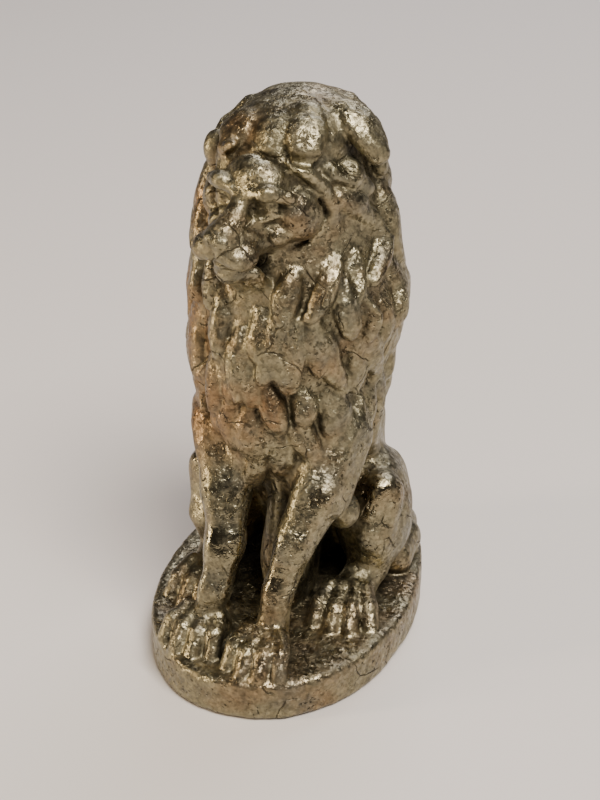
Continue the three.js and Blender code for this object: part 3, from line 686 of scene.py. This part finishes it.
ochre = spread(tree, cloud(tree, place, 7.0, 3.0), 0.48, 0.66, 0.0, 0.5)
ochre = worked(tree, "ADD", ochre, worked(tree, "MULTIPLY", warm, 0.8))
ochre = node(tree, "ShaderNodeClamp", {"Value": ochre}).outputs[0]
steel = spread(tree, cloud(tree, place, 3.6, 3.0), 0.5, 0.68, 0.0, 0.6)
colour = blended(tree, ochre, linear("#8e866c"), linear("#8d7050"))
colour = blended(tree, steel, colour, linear("#66665c"))
mottle = spread(tree, cloud(tree, place, 0.7, 3.0), 0.3, 0.7, 0.62, 1.25)
mottle = worked(tree, "MULTIPLY", mottle, spread(tree, grain_light, 0.0, 1.0, 0.78, 1.18))
colour = blended(tree, 1.0, colour, node(tree, "ShaderNodeCombineColor", {0: mottle, 1: mottle, 2: mottle}).outputs[0], "MULTIPLY")

pits = spread(tree, cloud(tree, place, 0.42, 1.0), 0.60, 0.68)
pits = worked(tree, "MULTIPLY", pits, spread(tree, cloud(tree, place, 3.1, 1.0), 0.46, 0.6))
pushed = node(tree, "ShaderNodeTexNoise", {"Vector": place, "Scale": 1 / (1.6 * MM), "Detail": 3.0}).outputs["Color"]
pushed = node(tree, "ShaderNodeVectorMath", {0: pushed, 1: (1.1 * MM,) * 3, 2: place}, operation="MULTIPLY_ADD").outputs[0]
CRACK_SPACING = 6.5
cracks = node(tree, "ShaderNodeTexVoronoi", {"Vector": pushed, "Scale": 1 / (CRACK_SPACING * MM)}, feature="DISTANCE_TO_EDGE")
cracks = spread(tree, cracks.outputs["Distance"], 0.006, 0.016, 1.0, 0.0)
cracks = worked(tree, "MULTIPLY", cracks, spread(tree, cloud(tree, place, 4.2, 1.0), 0.5, 0.56))
sunk = worked(tree, "MAXIMUM", pits, cracks)
# Painted shade: the hollows are darkened towards a deep brown. The pores and cracks mixed in here are the stone's
# own dark flaws.
flaws_and_painted_shade = worked(tree, "POWER", hollow, 1.3)
flaws_and_painted_shade = worked(tree, "MAXIMUM", worked(tree, "MULTIPLY", flaws_and_painted_shade, 0.85), worked(tree, "MULTIPLY", sunk, 0.8))
colour = blended(tree, flaws_and_painted_shade, colour, linear("#241f19"))
colour = blended(tree, worked(tree, "MULTIPLY", ridge, 0.35), colour, linear("#c9bf98"))

rough = spread(tree, cloud(tree, place, 1.3, 2.0), 0.35, 0.65, 0.30, 0.52)
rough = worked(tree, "ADD", rough, worked(tree, "MULTIPLY", flaws_and_painted_shade, 0.25))
rough = worked(tree, "SUBTRACT", rough, worked(tree, "MULTIPLY", rubbed, 0.16))
rough = worked(tree, "SUBTRACT", rough, worked(tree, "MULTIPLY", ridge, 0.08))

facing = node(tree, "ShaderNodeNewGeometry").outputs["Normal"]
lean = node(tree, "ShaderNodeVectorMath", {0: grain_way, 1: (0.5, 0.5, 0.5)}, operation="SUBTRACT").outputs[0]
strength = worked(tree, "SUBTRACT", 0.34, worked(tree, "MULTIPLY", rubbed, 0.26))
lean = node(tree, "ShaderNodeVectorMath", {0: lean, "Scale": strength}, operation="SCALE").outputs[0]
facing = node(tree, "ShaderNodeVectorMath", {0: facing, 1: lean}, operation="ADD").outputs[0]
facing = node(tree, "ShaderNodeVectorMath", {0: facing}, operation="NORMALIZE").outputs[0]
height = worked(tree, "MULTIPLY", cloud(tree, place, 0.9, 3.0), 1.0)
height = worked(tree, "SUBTRACT", height, worked(tree, "MULTIPLY", sunk, 0.7))
bump = node(tree, "ShaderNodeBump", {"Height": height, "Distance": 0.16 * MM, "Strength": 1.0, "Normal": facing})

shader = node(tree, "ShaderNodeBsdfPrincipled",
              {"Base Color": colour, "Metallic": 1.0, "Roughness": rough, "Normal": bump.outputs["Normal"]})
node(tree, "ShaderNodeOutputMaterial", {"Surface": shader.outputs["BSDF"]})
mesh.materials.append(pyrite)

# The table: one pale matt sheet.
SHEET_REACH = 0.9
sheet = bpy.data.materials.new("matt paper")
sheet.use_nodes = True
sheet.node_tree.nodes["Principled BSDF"].inputs["Base Color"].default_value = linear("#d9d2cb")
sheet.node_tree.nodes["Principled BSDF"].inputs["Roughness"].default_value = 0.85
table = bpy.data.meshes.new("table_sheet")
table.from_pydata([(x * SHEET_REACH, y * SHEET_REACH, 0) for x, y in ((-1, -1), (1, -1), (1, 1), (-1, 1))], [], [(0, 1, 2, 3)])
table.materials.append(sheet)
floor = bpy.data.objects.new("table_sheet", table)
bpy.context.scene.collection.objects.link(floor)

# The camera looks down on the lion from its left front.
CAMERA_TURN, CAMERA_RISE = math.radians(16.97), math.radians(28.0)
CAMERA_DISTANCE, AIM_RIGHT, AIM_UP = 200.0, 1.14, 24.74
FOCAL_PIXELS, FRAME_HEIGHT, SENSOR = 1666.0, 800, 36.0
back = Vector((math.sin(CAMERA_TURN) * math.cos(CAMERA_RISE),
               -math.cos(CAMERA_TURN) * math.cos(CAMERA_RISE), math.sin(CAMERA_RISE)))
right = Vector((math.cos(CAMERA_TURN), math.sin(CAMERA_TURN), 0))
up = back.cross(right)
lens = bpy.data.cameras.new("camera")
lens.sensor_width = SENSOR
lens.lens = FOCAL_PIXELS / FRAME_HEIGHT * SENSOR
camera = bpy.data.objects.new("camera", lens)
spot = (right * AIM_RIGHT + up * AIM_UP + back * CAMERA_DISTANCE) * MM
camera.matrix_world = Matrix.Translation(spot) @ Matrix((right, up, back)).transposed().to_4x4()
bpy.context.scene.collection.objects.link(camera)
bpy.context.scene.camera = camera

# Soft studio light in a dim room: a large panel over the front, a strip at the left that
# draws the streaks on the legs, and a weak panel for the back.
world = bpy.data.worlds.new("studio")
bpy.context.scene.world = world
world.use_nodes = True
world.node_tree.nodes["Background"].inputs["Color"].default_value = linear("#8a8480")
world.node_tree.nodes["Background"].inputs["Strength"].default_value = 0.35


def panel(name, turn, rise, distance, size, power, colour):
    """A light panel, turned to the right of the camera and raised by degrees."""
    turn, rise = CAMERA_TURN + math.radians(turn), math.radians(rise)
    place = Vector((math.sin(turn) * math.cos(rise), -math.cos(turn) * math.cos(rise), math.sin(rise)))
    light = bpy.data.lights.new(name, "AREA")
    light.shape = "RECTANGLE"
    light.size, light.size_y = size
    light.energy = power
    light.color = linear(colour)[:3]
    lamp = bpy.data.objects.new(name, light)
    lamp.location = place * distance + Vector((0, 0, 0.03))
    lamp.rotation_euler = place.to_track_quat("Z", "Y").to_euler()
    bpy.context.scene.collection.objects.link(lamp)


panel("front_panel", 28, 58, 0.55, (0.26, 0.26), 5.0, "#fff8f0")
panel("left_strip", -78, 12, 0.4, (0.05, 0.2), 1.0, "#ffe9c8")
panel("back_panel", 160, 45, 0.6, (0.4, 0.3), 2.0, "#f4f4ff")
